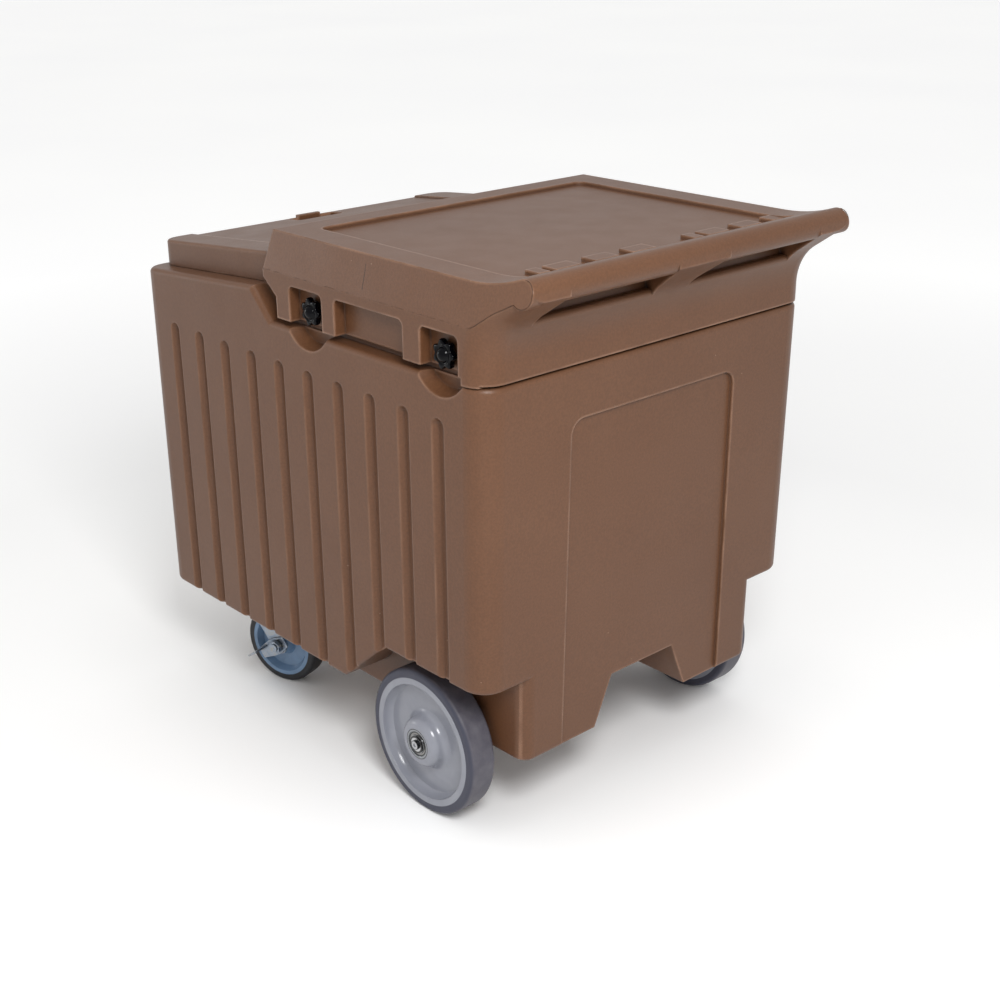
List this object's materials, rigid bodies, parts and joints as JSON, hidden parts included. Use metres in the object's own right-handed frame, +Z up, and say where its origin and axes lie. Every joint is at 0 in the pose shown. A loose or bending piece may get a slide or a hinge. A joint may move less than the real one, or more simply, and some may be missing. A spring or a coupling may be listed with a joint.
{
  "type": "mobile ice bin",
  "caption": "Insulated moulded ice bin on rear wheels and swivel casters, with a sliding front lid and a fixed rear hood that carries the push handle.",
  "frame": {"origin": "on the floor, below the middle of the overall box", "axes": "+Z up, +Y towards the push handle at the rear, +X to the right hand of the person who pushes"},
  "size_m": [0.584, 0.806, 0.758],
  "materials": {
    "mocha_plastic": "satin",
    "insulating_foam": "matte",
    "shelf_plastic": "satin",
    "knob_plastic": "gloss",
    "zinc_steel": "satin",
    "bright_steel": "polished",
    "insert_brass": "satin",
    "hub_plastic": "satin",
    "wheel_rubber": "matte",
    "caster_hub_plastic": "satin",
    "caster_rubber": "matte",
    "tap_plastic": "satin",
    "lever_plastic": "satin",
    "gasket_rubber": "matte"
  },
  "bodies": {
    "bin": {"bin_shell": "mocha_plastic", "foam_core": "insulating_foam", "hood": "mocha_plastic", "drain_shelf": "shelf_plastic", "axle_end_screws": "zinc_steel", "axle_end_washers": "zinc_steel", "axle_straps": "zinc_steel", "bearing_inner_races": "bright_steel", "bearing_spacers": "bright_steel", "caster_bolts": "zinc_steel", "caster_kingpin_left": "zinc_steel", "caster_kingpin_right": "zinc_steel", "caster_plate_left": "zinc_steel", "caster_plate_right": "zinc_steel", "drain_gasket": "gasket_rubber", "drain_nut": "tap_plastic", "drain_valve": "tap_plastic", "knob_inserts": "insert_brass", "rear_axle": "zinc_steel", "strap_screws": "zinc_steel"},
    "lid": {"lid_shell": "mocha_plastic", "lid_foam": "insulating_foam"},
    "brake_left": {"caster_brake_lever_left": "zinc_steel"},
    "brake_right": {"caster_brake_lever_right": "zinc_steel"},
    "caster_fork_left": {"caster_fork_left": "zinc_steel", "caster_wheel_bolt_left": "zinc_steel", "caster_wheel_nut_left": "zinc_steel"},
    "caster_fork_right": {"caster_fork_right": "zinc_steel", "caster_wheel_bolt_right": "zinc_steel", "caster_wheel_nut_right": "zinc_steel"},
    "caster_wheel_left": {"caster_hub_left": "caster_hub_plastic", "caster_tyre_left": "caster_rubber"},
    "caster_wheel_right": {"caster_hub_right": "caster_hub_plastic", "caster_tyre_right": "caster_rubber"},
    "tap_lever": {"drain_lever": "lever_plastic"},
    "knob_front_left": {"knob_front_left": "knob_plastic", "stud_front_left": "zinc_steel"},
    "knob_front_right": {"knob_front_right": "knob_plastic", "stud_front_right": "zinc_steel"},
    "knob_rear_left": {"knob_rear_left": "knob_plastic", "stud_rear_left": "zinc_steel"},
    "knob_rear_right": {"knob_rear_right": "knob_plastic", "stud_rear_right": "zinc_steel"},
    "rear_wheel_left": {"wheel_bearings_left": "bright_steel", "wheel_hub_left": "hub_plastic", "wheel_tyre_left": "wheel_rubber"},
    "rear_wheel_right": {"wheel_bearings_right": "bright_steel", "wheel_hub_right": "hub_plastic", "wheel_tyre_right": "wheel_rubber"}
  },
  "joints": [
    {"name": "lid_slide", "type": "slide", "parent": "bin", "child": "lid", "axis": [0, 0.9968, 0.0797], "range_m": [0, 0.25]},
    {"name": "rear_wheel_spin_right", "type": "hinge", "parent": "bin", "child": "rear_wheel_right", "pos_m": [0.255, 0.183, 0.1015], "axis": [1, 0, 0], "continuous": true},
    {"name": "rear_wheel_spin_left", "type": "hinge", "parent": "bin", "child": "rear_wheel_left", "pos_m": [-0.255, 0.183, 0.1015], "axis": [1, 0, 0], "continuous": true},
    {"name": "caster_swivel_right", "type": "hinge", "parent": "bin", "child": "caster_fork_right", "pos_m": [0.202, -0.28, 0.145], "axis": [0, 0, 1], "continuous": true},
    {"name": "caster_wheel_spin_right", "type": "hinge", "parent": "caster_fork_right", "child": "caster_wheel_right", "pos_m": [0.19089, -0.24366, 0.0635], "axis": [0.9563, 0.2924, 0], "continuous": true},
    {"name": "brake_pedal_right", "type": "hinge", "parent": "caster_fork_right", "child": "brake_right", "pos_m": [0.19089, -0.24366, 0.0635], "axis": [0.9563, 0.2924, 0], "range_deg": [0, 18]},
    {"name": "caster_swivel_left", "type": "hinge", "parent": "bin", "child": "caster_fork_left", "pos_m": [-0.202, -0.28, 0.145], "axis": [0, 0, 1], "continuous": true},
    {"name": "caster_wheel_spin_left", "type": "hinge", "parent": "caster_fork_left", "child": "caster_wheel_left", "pos_m": [-0.21311, -0.24366, 0.0635], "axis": [0.9563, 0.2924, 0], "continuous": true},
    {"name": "brake_pedal_left", "type": "hinge", "parent": "caster_fork_left", "child": "brake_left", "pos_m": [-0.21311, -0.24366, 0.0635], "axis": [0.9563, 0.2924, 0], "range_deg": [0, 18]},
    {"name": "knob_turn_front_right", "type": "hinge", "parent": "bin", "child": "knob_front_right", "pos_m": [0.284, 0.002, 0.65], "axis": [1, 0, 0], "continuous": true},
    {"name": "knob_turn_rear_right", "type": "hinge", "parent": "bin", "child": "knob_rear_right", "pos_m": [0.284, 0.26, 0.65], "axis": [1, 0, 0], "continuous": true},
    {"name": "knob_turn_front_left", "type": "hinge", "parent": "bin", "child": "knob_front_left", "pos_m": [-0.284, 0.002, 0.65], "axis": [-1, 0, 0], "continuous": true},
    {"name": "knob_turn_rear_left", "type": "hinge", "parent": "bin", "child": "knob_rear_left", "pos_m": [-0.284, 0.26, 0.65], "axis": [-1, 0, 0], "continuous": true},
    {"name": "tap_turn", "type": "hinge", "parent": "bin", "child": "tap_lever", "pos_m": [0, -0.4, 0.206], "axis": [0, 1, 0], "range_deg": [0, 90]}
  ]
}
